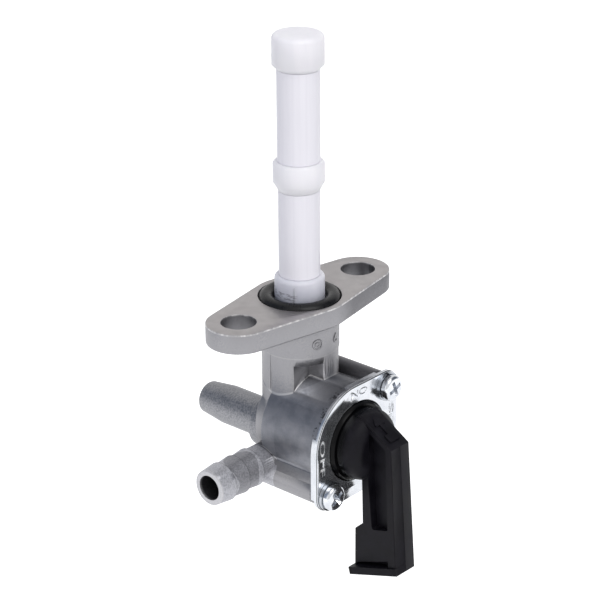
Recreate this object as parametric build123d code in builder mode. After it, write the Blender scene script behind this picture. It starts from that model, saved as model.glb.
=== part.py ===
from build123d import *
import os
from math import atan2, cos, hypot, sin, tan

os.makedirs("parts", exist_ok=True)

# A two-bolt fuel tap with a strainer tower, sizes in millimetres.
# The origin is the middle of the flange's top face, +Z points up into the tank, the bolts are along X,
# the valve turns about an axis along Y, and the lever is on the -Y side.

# Clearances
FACE_GAP = 0.05
SOCKET_GAP = 0.05

# Flange
BOLT_PITCH = 34.0
BOLT_HOLE_R = 3.35
FLANGE_T = 4.0
FLANGE_END_R = 6.2
FLANGE_MIDDLE_R = 9.3
FLANGE_EDGE_FILLET = 0.4
RECESS_R = 8.0
RECESS_DEPTH = 2.2

# Neck
NECK_UPPER_R = 7.55
NECK_LOWER_R = 7.4
NECK_EDGE_Z = -10.2
NECK_FILLET = 1.0
POCKET_TOP_Z = -11.7
POCKET_BACK_Y = -3.9
POCKET_SIDE_X = -1.5

# Barrel and the stepped boss behind it, along Y
BARREL_Z = -25.7
BARREL_R = 10.6
BARREL_FRONT_Y = -13.7
BARREL_BACK_Y = 0.95
BARREL_BACK_FILLET = 0.4
REAR_STEP = 2.0
REAR_BOSS_ROOT_R = BARREL_R - REAR_STEP
REAR_BOSS_END_R = REAR_BOSS_ROOT_R - 0.2
REAR_BOSS_END_Y = 4.3
REAR_BOSS_EDGE_FILLET = 0.3

# Plain rear spigot and the collar at its root, along Y
REAR_X = -2.0
REAR_Z = -27.9
REAR_R = 3.9
REAR_COLLAR_R = REAR_R + 1.4
REAR_COLLAR_END_Y = 7.4
REAR_COLLAR_FILLET = 0.5
REAR_TIP_R = REAR_R - 0.7
REAR_TAPER_Y = 17.0
REAR_TIP_Y = 22.8
REAR_BORE_R = REAR_R - 1.45
REAR_BORE_END_Y = -1.0

# Barbed front spigot, along X
BARB_Y = 1.5
BARB_Z = -32.3
BARB_STEM_R = 3.5
BARB_CREST_R = BARB_STEM_R + 0.37
BARB_TIP_X = -24.3
BARB_TIP_LENGTH = 3.6
BARB_FIRST_CREST_X = BARB_TIP_X + BARB_TIP_LENGTH
BARB_SPACING = 3.85
BARB_COUNT = 3
BARB_RISE = BARB_SPACING - 0.35
BARB_STEM_END_X = -0.5
BARB_BORE_R = BARB_STEM_R - 1.0
BARB_BORE_END_X = BARB_STEM_END_X - 0.1
BARB_TIP_FILLET = 0.25

# Cover screws, at two corners of the cover plate
SCREW_OFFSET = (BARREL_R + 1.35) * 2**-0.5
SCREW_R = 1.45
SCREW_LENGTH = 8.0
SCREW_HEAD_R = 2.55
SCREW_HEAD_H = 1.6
SCREW_HEAD_FILLET = 0.7
SCREW_BOSS_R = SCREW_R + 1.0
SCREW_BOSS_FACE_R = SCREW_BOSS_R - 0.3
SCREW_BOSS_FACE_H = 0.9
SCREW_BOSS_END_Y = BARREL_BACK_Y + 0.8
SCREW_HOLE_DEPTH = 9.5
WASHER_R = SCREW_HEAD_R + 0.3
WASHER_HOLE_R = SCREW_R + 0.15
WASHER_T = 0.75
WASHER_SPLIT = 0.5

# Valve axis, chamber and passages
VALVE_Z = BARREL_Z - 0.5
CHAMBER_R = BARREL_R - 1.3
SEAT_Y = -4.0
PASSAGE_X = 2.6
PASSAGE_R = 1.5
PASSAGE_END_Z = -22.9
PORT_OFFSET = 3.2
PORT_R = 1.4
PORT_END_Y = 0.3
CENTRE_BORE_R = 2.2
CENTRE_BORE_END_Y = 2.0

# Cover plate
PLATE_T = 0.8
PLATE_SMALL_CORNER = 3.3
PLATE_W = 2 * (SCREW_OFFSET + PLATE_SMALL_CORNER)
PLATE_H = PLATE_W - 0.4
PLATE_LARGE_CORNER = PLATE_H / 2 - 0.3
PLATE_HUB_HOLE_R = CHAMBER_R - 1.15
PLATE_SCREW_HOLE_R = SCREW_R + 0.25
LIP_T = PLATE_T / 2
LIP_DEPTH = 0.7
TOP_LIP_START = 2.0
TOP_LIP_END = 6.5
SIDE_LIP_START = 4.0
SIDE_LIP_END = SCREW_OFFSET + 0.2

# Valve gasket
GASKET_R = CHAMBER_R - 0.2
GASKET_T = 2.2

# Rotor and hub of the lever
ROTOR_R = CHAMBER_R - 0.2
SHOULDER_Y = BARREL_FRONT_Y + 1.0
GROOVE_Y = -9.2
GROOVE_W = 1.6
GROOVE_FLOOR_R = ROTOR_R - 1.2
SEAL_SECTION_R = 0.64
HUB_R = PLATE_HUB_HOLE_R - 0.2
HUB_RING_Y = BARREL_FRONT_Y - PLATE_T - 0.1
HUB_RING_H = 0.6
HUB_RING_TAPER = 36.0
DOME_R = HUB_R - 0.85
DOME_FRONT_Y = -19.7
DOME_TAPER = 2.0
DOME_FILLET = 2.9
CHANNEL_W = 2.6
CHANNEL_DEPTH = 1.8

# Arm of the lever, in the YZ plane
ARM_HALF_W = 2.65
ARM_TOP_Y = -17.0
ARM_TOP_Z = -19.2
ARM_NOSE_Y = -25.0
ARM_NOSE_Z = -24.0
ARM_TOE_Y = -26.85
ARM_TOE_Z = -50.15
ARM_INNER_TOP_Y = -17.75
ARM_INNER_TOP_Z = -32.0
ARM_INNER_LOW_Y = -18.15
ARM_INNER_LOW_Z = -41.7
BLOCK_INNER_Y = -16.3
BLOCK_TOP_Z = -43.4
ARM_ROOT_Y = -15.7
ARM_ROOT_HALF_H = 5.8
CREASE_TOP_STEP = 0.1
CREASE_LOW_STEP = 0.35

# Hollow in each side of the arm
HOLLOW_FLOOR_X = 1.0
HOLLOW_INNER_TOP_Y = -18.9
HOLLOW_OUTER_TOP_Y = -23.6
HOLLOW_INNER_LOW_Y = -20.4
HOLLOW_OUTER_LOW_Y = -24.3
HOLLOW_INNER_LOW_Z = -42.4
HOLLOW_OUTER_LOW_Z = -41.3
HOLLOW_UNDER_NOSE = 1.3
HOLLOW_FILLET = 0.5

# Thumb foot at the lower end of the arm
FOOT_LOW_Z = -52.95
FOOT_T = 1.5
FOOT_INNER_X = -4.25
FOOT_OUTER_X = -ARM_HALF_W - 0.2
FOOT_SLOT_INNER_H = 0.5
FOOT_SLOT_OUTER_H = 1.4
FOOT_SLOT_FLOOR_X = 1.0
FOOT_SLOT_START_Y = BLOCK_INNER_Y - 0.45
FOOT_SLOT_END_Y = -24.5

# Curved spring washer round the hub
BOW_R = ROTOR_R
BOW_BORE_R = HUB_R + 0.15
BOW_T = 0.25

# Flange O-ring
RING_SECTION_R = 1.48
RING_R = 6.4

# Strainer tower
BASE_R = 4.8
BASE_TOP_Z = 5.65
BASE_SHOULDER_H = 1.05
COLLAR_R = 4.9
COLLAR_FULL_Z = 25.0
COLLAR_TAPER_H = 1.7
COLLAR_LOW_Z = COLLAR_FULL_Z - COLLAR_TAPER_H
COLLAR_H = 4.0
COLLAR_TOP_CHAMFER = 0.5
CAP_TOP_Z = 52.5
CAP_H = 5.2
CAP_FULL_Z = CAP_TOP_Z - CAP_H
CAP_TAPER_H = 0.9
CAP_LOW_Z = CAP_FULL_Z - CAP_TAPER_H
CAP_FILLET = 0.6
CORE_R = 3.6
CORE_BORE_R = CORE_R - 0.7
UPPER_SCREEN_R = CORE_R + 0.45
LOWER_SCREEN_R = CORE_R + 0.35
LOWER_CHAMBER_Z = BASE_TOP_Z - 0.65
UPPER_FLOOR_H = 3.0
UPPER_CHAMBER_Z = COLLAR_FULL_Z + UPPER_FLOOR_H
CAP_WALL = 1.7
UPPER_CHAMBER_TOP_Z = CAP_TOP_Z - CAP_WALL
WINDOW_W = 3.4
WINDOW_MARGIN = 1.2
NIPPLE_BORE_R = 0.95
NIPPLE_LENGTH = 4.0
NIPPLE_CHAMFER = 0.3

# Standpipe from the base to the upper half of the tower
PIPE_X = -1.6
PIPE_R = 1.2
PIPE_BORE_R = 0.9
PIPE_LOW_Z = 3.4
PIPE_STAND_H = 3.5
PIPE_TOP_Z = UPPER_CHAMBER_Z + PIPE_STAND_H
PIPE_WELL_Z = PIPE_LOW_Z - 1.2

SCREW_PLACES = [(SCREW_OFFSET, SCREW_OFFSET), (-SCREW_OFFSET, -SCREW_OFFSET)]
PORT_PLACES = [(-PORT_OFFSET, PORT_OFFSET), (PORT_OFFSET, PORT_OFFSET)]
PLATE_FRONT_Y = BARREL_FRONT_Y - PLATE_T
WASHER_FRONT_Y = PLATE_FRONT_Y - WASHER_T
RECESS_FLOOR_Z = -RECESS_DEPTH
GASKET_FRONT_Y = SEAT_Y - GASKET_T
ROTOR_FACE_Y = GASKET_FRONT_Y - FACE_GAP
BARREL_AXIS = Axis((0, 0, BARREL_Z), (0, 1, 0))
VALVE_AXIS = Axis((0, 0, VALVE_Z), (0, 1, 0))


def facing_front(y):
    """Plane across Y at y, seen from the lever side with X to the right and Z up from the valve axis."""
    return Plane(origin=(0, y, VALVE_Z), x_dir=(1, 0, 0), z_dir=(0, -1, 0))


# Die-cast body
with BuildPart() as body:
    with BuildSketch(Plane.XY.offset(-FLANGE_T)):
        with GridLocations(BOLT_PITCH, 0, 2, 1):
            Circle(FLANGE_END_R)
        Circle(FLANGE_MIDDLE_R)
        make_hull()
    extrude(amount=FLANGE_T)
    fillet(body.edges().group_by(Axis.Z)[0], FLANGE_EDGE_FILLET)
    with BuildSketch(Plane.XY.offset(NECK_EDGE_Z)):
        Circle(NECK_UPPER_R)
    extrude(amount=-FLANGE_T - NECK_EDGE_Z)
    fillet(
        body.edges().filter_by(GeomType.CIRCLE).filter_by(
            lambda e: abs(e.radius - NECK_UPPER_R) < 0.01 and abs(e.center().Z + FLANGE_T) < 0.01
        ),
        NECK_FILLET,
    )
    with BuildSketch(Plane.XY.offset(BARREL_Z)):
        Circle(NECK_LOWER_R)
    extrude(amount=NECK_EDGE_Z - BARREL_Z)
    # Flat-sided pocket at the front left of the neck
    with BuildSketch(Plane.XY.offset(POCKET_TOP_Z)):
        with Locations((POCKET_SIDE_X, POCKET_BACK_Y)):
            Rectangle(2 * NECK_LOWER_R, 2 * NECK_LOWER_R, align=(Align.MAX, Align.MAX))
    extrude(amount=BARREL_Z - POCKET_TOP_Z, mode=Mode.SUBTRACT)
    # Barrel with its rear boss
    with BuildSketch(Plane.YZ) as barrel_profile:
        with BuildLine():
            Polyline(
                (BARREL_FRONT_Y, BARREL_Z),
                (BARREL_FRONT_Y, BARREL_Z + BARREL_R),
                (BARREL_BACK_Y, BARREL_Z + BARREL_R),
                (BARREL_BACK_Y, BARREL_Z + REAR_BOSS_ROOT_R),
                (REAR_BOSS_END_Y, BARREL_Z + REAR_BOSS_END_R),
                (REAR_BOSS_END_Y, BARREL_Z),
                close=True,
            )
        make_face()
        step_corners = barrel_profile.vertices().filter_by(lambda v: abs(v.X - BARREL_BACK_Y) < 0.01)
        fillet(step_corners.sort_by(Axis.Y)[-1], BARREL_BACK_FILLET)
        end_corners = barrel_profile.vertices().filter_by(lambda v: abs(v.X - REAR_BOSS_END_Y) < 0.01)
        fillet(end_corners.sort_by(Axis.Y)[-1], REAR_BOSS_EDGE_FILLET)
    revolve(axis=BARREL_AXIS)
    # Screw bosses
    with BuildSketch(facing_front(SCREW_BOSS_END_Y)):
        with Locations(*SCREW_PLACES):
            Circle(SCREW_BOSS_R)
    extrude(amount=SCREW_BOSS_END_Y - BARREL_FRONT_Y - SCREW_BOSS_FACE_H)
    with BuildSketch(facing_front(SCREW_BOSS_END_Y)):
        with Locations(*SCREW_PLACES):
            Circle(SCREW_BOSS_FACE_R)
    extrude(amount=SCREW_BOSS_END_Y - BARREL_FRONT_Y)
    # Rear spigot
    with BuildSketch(Plane.YZ.offset(REAR_X)) as rear_profile:
        with BuildLine():
            Polyline(
                (0, REAR_Z),
                (0, REAR_Z + REAR_COLLAR_R),
                (REAR_COLLAR_END_Y, REAR_Z + REAR_COLLAR_R),
                (REAR_COLLAR_END_Y, REAR_Z + REAR_R),
                (REAR_TAPER_Y, REAR_Z + REAR_R),
                (REAR_TIP_Y, REAR_Z + REAR_TIP_R),
                (REAR_TIP_Y, REAR_Z),
                close=True,
            )
        make_face()
        collar_corners = rear_profile.vertices().filter_by(lambda v: abs(v.X - REAR_COLLAR_END_Y) < 0.01)
        fillet(collar_corners.sort_by(Axis.Y)[-1], REAR_COLLAR_FILLET)
        tip_corners = rear_profile.vertices().filter_by(lambda v: v.X > REAR_TIP_Y - 0.01)
        fillet(tip_corners.sort_by(Axis.Y)[-1], (REAR_TIP_R - REAR_BORE_R) * 0.8)
    revolve(axis=Axis((REAR_X, 0, REAR_Z), (0, 1, 0)))
    # Front spigot, its barbs and its rounded inner end
    with BuildSketch(Plane.XZ.offset(-BARB_Y)) as barb_profile:
        with Locations((BARB_TIP_X, BARB_Z)):
            Rectangle(BARB_STEM_END_X - BARB_TIP_X, BARB_STEM_R, align=(Align.MIN, Align.MIN))
        fillet(barb_profile.vertices().group_by(Axis.X)[0].sort_by(Axis.Y)[-1], BARB_TIP_FILLET)
    revolve(axis=Axis((0, BARB_Y, BARB_Z), (1, 0, 0)))
    for barb in range(BARB_COUNT):
        crest_x = BARB_FIRST_CREST_X + barb * BARB_SPACING
        with Locations(Location((crest_x - BARB_RISE / 2, BARB_Y, BARB_Z), (0, 90, 0))):
            Cone(BARB_STEM_R, BARB_CREST_R, BARB_RISE)
    with Locations((BARB_STEM_END_X, BARB_Y, BARB_Z)):
        Sphere(BARB_STEM_R)
    # Bolt holes and the O-ring recess
    with BuildSketch(Plane.XY):
        with GridLocations(BOLT_PITCH, 0, 2, 1):
            Circle(BOLT_HOLE_R)
    extrude(amount=-FLANGE_T, mode=Mode.SUBTRACT)
    with BuildSketch(Plane.XY):
        Circle(RECESS_R)
    extrude(amount=-RECESS_DEPTH, mode=Mode.SUBTRACT)
    # Valve chamber and screw holes
    with BuildSketch(facing_front(SEAT_Y)):
        Circle(CHAMBER_R)
    extrude(amount=SEAT_Y - BARREL_FRONT_Y, mode=Mode.SUBTRACT)
    with BuildSketch(facing_front(BARREL_FRONT_Y)):
        with Locations(*SCREW_PLACES):
            Circle(SCREW_R + SOCKET_GAP)
    extrude(amount=-SCREW_HOLE_DEPTH, mode=Mode.SUBTRACT)
    # Two feeds down from the recess, their ports in the seat, and the outlet bores
    with BuildSketch(Plane.XY.offset(RECESS_FLOOR_Z)):
        with GridLocations(2 * PASSAGE_X, 0, 2, 1):
            Circle(PASSAGE_R)
    extrude(amount=PASSAGE_END_Z - RECESS_FLOOR_Z, mode=Mode.SUBTRACT)
    with BuildSketch(facing_front(PORT_END_Y)):
        with Locations(*PORT_PLACES):
            Circle(PORT_R)
    extrude(amount=PORT_END_Y - SEAT_Y, mode=Mode.SUBTRACT)
    with BuildSketch(facing_front(CENTRE_BORE_END_Y)):
        Circle(CENTRE_BORE_R)
    extrude(amount=CENTRE_BORE_END_Y - SEAT_Y, mode=Mode.SUBTRACT)
    with BuildSketch(facing_front(REAR_TIP_Y)):
        with Locations((REAR_X, REAR_Z - VALVE_Z)):
            Circle(REAR_BORE_R)
    extrude(amount=REAR_TIP_Y - REAR_BORE_END_Y, mode=Mode.SUBTRACT)
    with BuildSketch(Plane.YZ.offset(BARB_TIP_X)):
        with Locations((BARB_Y, BARB_Z)):
            Circle(BARB_BORE_R)
    extrude(amount=BARB_BORE_END_X - BARB_TIP_X, mode=Mode.SUBTRACT)


# Strainer tower: base, skeleton tube, collar, cap and the two nipples that plug into the body
with BuildPart() as strainer_core:
    with BuildSketch(Plane.XY.offset(RECESS_FLOOR_Z)):
        Circle(BASE_R)
    extrude(amount=BASE_TOP_Z + BASE_SHOULDER_H - RECESS_FLOOR_Z)
    fillet(strainer_core.edges().group_by(Axis.Z)[-1], BASE_R - LOWER_SCREEN_R)
    with BuildSketch(Plane.XY.offset(RECESS_FLOOR_Z)):
        Circle(CORE_R)
    extrude(amount=CAP_TOP_Z - CAP_FILLET - RECESS_FLOOR_Z)
    # Middle collar, with a long taper below it and a small chamfer on top
    with BuildSketch(Plane.XY.offset(COLLAR_FULL_Z)):
        Circle(COLLAR_R)
    extrude(amount=COLLAR_H)
    with BuildSketch(Plane.XY.offset(COLLAR_FULL_Z + COLLAR_H)):
        Circle(COLLAR_R)
    extrude(amount=COLLAR_TOP_CHAMFER, taper=45)
    with BuildSketch(Plane.XY.offset(COLLAR_FULL_Z)):
        Circle(COLLAR_R)
    with BuildSketch(Plane.XY.offset(COLLAR_LOW_Z)):
        Circle(LOWER_SCREEN_R)
    loft()
    # Cap
    with BuildSketch(Plane.XY.offset(CAP_FULL_Z)):
        Circle(COLLAR_R)
    extrude(amount=CAP_TOP_Z - CAP_FULL_Z)
    fillet(strainer_core.edges().group_by(Axis.Z)[-1], CAP_FILLET)
    with BuildSketch(Plane.XY.offset(CAP_FULL_Z)):
        Circle(COLLAR_R)
    with BuildSketch(Plane.XY.offset(CAP_LOW_Z)):
        Circle(UPPER_SCREEN_R)
    loft()
    # Nipples
    with BuildSketch(Plane.XY.offset(RECESS_FLOOR_Z)):
        with GridLocations(2 * PASSAGE_X, 0, 2, 1):
            Circle(PASSAGE_R - SOCKET_GAP)
    extrude(amount=-NIPPLE_LENGTH)
    chamfer(strainer_core.edges().group_by(Axis.Z)[0], NIPPLE_CHAMFER)
    # Chambers below and above the collar
    with BuildSketch(Plane.XY.offset(LOWER_CHAMBER_Z)):
        Circle(CORE_BORE_R)
    extrude(amount=COLLAR_FULL_Z - LOWER_CHAMBER_Z, mode=Mode.SUBTRACT)
    with BuildSketch(Plane.XY.offset(UPPER_CHAMBER_Z)):
        Circle(CORE_BORE_R)
    extrude(amount=UPPER_CHAMBER_TOP_Z - UPPER_CHAMBER_Z, mode=Mode.SUBTRACT)
    # Windows under each screen
    for low_z, high_z in (
        (BASE_TOP_Z + BASE_SHOULDER_H, COLLAR_LOW_Z),
        (COLLAR_FULL_Z + COLLAR_H + COLLAR_TOP_CHAMFER, CAP_LOW_Z),
    ):
        with BuildSketch(Plane.XY.offset(low_z + WINDOW_MARGIN)):
            Rectangle(2 * COLLAR_R, WINDOW_W)
            Rectangle(WINDOW_W, 2 * COLLAR_R)
        extrude(amount=high_z - low_z - 2 * WINDOW_MARGIN, mode=Mode.SUBTRACT)
    # Feed bores: the left one leads to the standpipe, the right one to the lower chamber
    with BuildSketch(Plane.XY.offset(RECESS_FLOOR_Z - NIPPLE_LENGTH)):
        with Locations((-PASSAGE_X, 0)):
            Circle(NIPPLE_BORE_R)
    extrude(amount=PIPE_LOW_Z - RECESS_FLOOR_Z + NIPPLE_LENGTH, mode=Mode.SUBTRACT)
    with BuildSketch(Plane.XY.offset(RECESS_FLOOR_Z - NIPPLE_LENGTH)):
        with Locations((PASSAGE_X, 0)):
            Circle(NIPPLE_BORE_R)
    extrude(amount=LOWER_CHAMBER_Z - RECESS_FLOOR_Z + NIPPLE_LENGTH, mode=Mode.SUBTRACT)
    with BuildSketch(Plane.XY.offset(PIPE_WELL_Z)):
        with Locations((PIPE_X, 0)):
            Circle(PIPE_BORE_R)
    extrude(amount=PIPE_LOW_Z - PIPE_WELL_Z, mode=Mode.SUBTRACT)
    with BuildSketch(Plane.XY.offset(PIPE_LOW_Z)):
        with Locations((PIPE_X, 0)):
            Circle(PIPE_R + SOCKET_GAP)
    extrude(amount=UPPER_CHAMBER_Z - PIPE_LOW_Z, mode=Mode.SUBTRACT)


# Standpipe
with BuildPart() as standpipe:
    with BuildSketch(Plane.XY.offset(PIPE_LOW_Z)):
        with Locations((PIPE_X, 0)):
            Circle(PIPE_R)
            Circle(PIPE_BORE_R, mode=Mode.SUBTRACT)
    extrude(amount=PIPE_TOP_Z - PIPE_LOW_Z)


# Screens round the skeleton tube
with BuildPart() as upper_screen:
    with BuildSketch(Plane.XY.offset(COLLAR_FULL_Z + COLLAR_H + COLLAR_TOP_CHAMFER + FACE_GAP)):
        Circle(UPPER_SCREEN_R)
        Circle(CORE_R + SOCKET_GAP, mode=Mode.SUBTRACT)
    extrude(amount=CAP_LOW_Z - COLLAR_FULL_Z - COLLAR_H - COLLAR_TOP_CHAMFER - 2 * FACE_GAP)

with BuildPart() as lower_screen:
    with BuildSketch(Plane.XY.offset(BASE_TOP_Z + BASE_SHOULDER_H + FACE_GAP)):
        Circle(LOWER_SCREEN_R)
        Circle(CORE_R + SOCKET_GAP, mode=Mode.SUBTRACT)
    extrude(amount=COLLAR_LOW_Z - BASE_TOP_Z - BASE_SHOULDER_H - 2 * FACE_GAP)


# Flange O-ring, on the floor of the recess
with BuildPart() as flange_o_ring:
    with BuildSketch(Plane.XZ):
        with Locations((RING_R, RECESS_FLOOR_Z + RING_SECTION_R)):
            Circle(RING_SECTION_R)
    revolve(axis=Axis.Z)


# Rubber valve gasket
with BuildPart() as valve_gasket:
    with BuildSketch(facing_front(SEAT_Y)):
        Circle(GASKET_R)
        Circle(CENTRE_BORE_R, mode=Mode.SUBTRACT)
        with Locations(*PORT_PLACES):
            Circle(PORT_R, mode=Mode.SUBTRACT)
    extrude(amount=GASKET_T)


# Cover plate
with BuildPart() as cover_plate:
    with BuildSketch(facing_front(BARREL_FRONT_Y)) as plate_outline:
        Rectangle(PLATE_W, PLATE_H)
        fillet(plate_outline.vertices().filter_by(lambda v: v.X * v.Y > 0), PLATE_SMALL_CORNER)
        fillet(
            plate_outline.vertices().filter_by(
                lambda v: v.X * v.Y < 0 and abs(v.X) + abs(v.Y) > (PLATE_W + PLATE_H) / 2 - 0.01
            ),
            PLATE_LARGE_CORNER,
        )
    extrude(amount=PLATE_T)
    # Lips bent back along the four straight sides
    with BuildSketch(facing_front(BARREL_FRONT_Y)):
        add(plate_outline.sketch_local)
        offset(plate_outline.sketch_local, amount=-LIP_T, mode=Mode.SUBTRACT)
        for side in (1, -1):
            with Locations((-TOP_LIP_START * side, SIDE_LIP_START * side)):
                Rectangle(
                    PLATE_W,
                    PLATE_W,
                    align=(Align.MAX, Align.MIN) if side > 0 else (Align.MIN, Align.MAX),
                    mode=Mode.SUBTRACT,
                )
            with Locations((TOP_LIP_END * side, SIDE_LIP_END * side)):
                Rectangle(
                    PLATE_W,
                    PLATE_W,
                    align=(Align.MIN, Align.MIN) if side > 0 else (Align.MAX, Align.MAX),
                    mode=Mode.SUBTRACT,
                )
    extrude(amount=-LIP_DEPTH)
    with BuildSketch(facing_front(BARREL_FRONT_Y)):
        Circle(PLATE_HUB_HOLE_R)
    extrude(amount=PLATE_T, mode=Mode.SUBTRACT)
    with BuildSketch(facing_front(BARREL_FRONT_Y)):
        with Locations(*SCREW_PLACES):
            Circle(PLATE_SCREW_HOLE_R)
    extrude(amount=PLATE_T, mode=Mode.SUBTRACT)


# Curved spring washer between the rotor's shoulder and the cover plate
BOW_RISE = SHOULDER_Y - BARREL_FRONT_Y - 2 * FACE_GAP - BOW_T
BOW_BEND_R = (BOW_R**2 + BOW_RISE**2) / (2 * BOW_RISE)
BOW_CENTRE_Y = SHOULDER_Y - FACE_GAP - BOW_T - BOW_BEND_R

with BuildPart() as curved_washer:
    with BuildSketch(Plane.XY.offset(VALVE_Z)):
        with Locations((0, BOW_CENTRE_Y)):
            Circle(BOW_BEND_R + BOW_T)
            Circle(BOW_BEND_R, mode=Mode.SUBTRACT)
    extrude(amount=BOW_R, both=True)
    with BuildSketch(facing_front(SHOULDER_Y)):
        Circle(BOW_R)
        Circle(BOW_BORE_R, mode=Mode.SUBTRACT)
    extrude(amount=SHOULDER_Y - BARREL_FRONT_Y, mode=Mode.INTERSECT)


# Cover screws and spring washers
def cover_screw(place):
    """Pan head screw at place on the cover plate; the head rests on its spring washer."""
    with BuildPart() as screw:
        with BuildSketch(facing_front(WASHER_FRONT_Y)):
            with Locations(place):
                Circle(SCREW_HEAD_R)
        extrude(amount=SCREW_HEAD_H)
        fillet(screw.edges().group_by(Axis.Y)[0], SCREW_HEAD_FILLET)
        with BuildSketch(facing_front(WASHER_FRONT_Y)):
            with Locations(place):
                Circle(SCREW_R)
        extrude(amount=-SCREW_LENGTH)
    return screw.part


def spring_washer(place):
    """Split spring washer at place on the cover plate, its split pointing away from the hub."""
    with BuildPart() as washer:
        with BuildSketch(facing_front(PLATE_FRONT_Y)):
            with Locations(place):
                Circle(WASHER_R)
                Circle(WASHER_HOLE_R, mode=Mode.SUBTRACT)
                Rectangle(
                    WASHER_R, WASHER_SPLIT, rotation=180, align=(Align.MIN, Align.CENTER), mode=Mode.SUBTRACT
                )
        extrude(amount=WASHER_T)
    return washer.part


# Lever, one moulding with the rotor and the hub
SLANT = (ARM_TOP_Z - ARM_NOSE_Z) / (ARM_TOP_Y - ARM_NOSE_Y)
FOOT_RUN = BLOCK_INNER_Y - ARM_TOE_Y
FOOT_SLOPE = atan2(ARM_TOE_Z - FOOT_LOW_Z, FOOT_RUN)
FOOT_LENGTH = hypot(FOOT_RUN, ARM_TOE_Z - FOOT_LOW_Z)
FOOT_PLANE = Plane(
    origin=(0, BLOCK_INNER_Y, FOOT_LOW_Z),
    x_dir=(1, 0, 0),
    z_dir=(0, sin(FOOT_SLOPE), cos(FOOT_SLOPE)),
)


def slant_z(y):
    """Height of the slanted top face at y."""
    return ARM_TOP_Z - (ARM_TOP_Y - y) * SLANT


def foot_top_z(y):
    """Height of the foot's upper face at y."""
    return FOOT_LOW_Z + FOOT_T / cos(FOOT_SLOPE) + (BLOCK_INNER_Y - y) * tan(FOOT_SLOPE)


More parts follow.
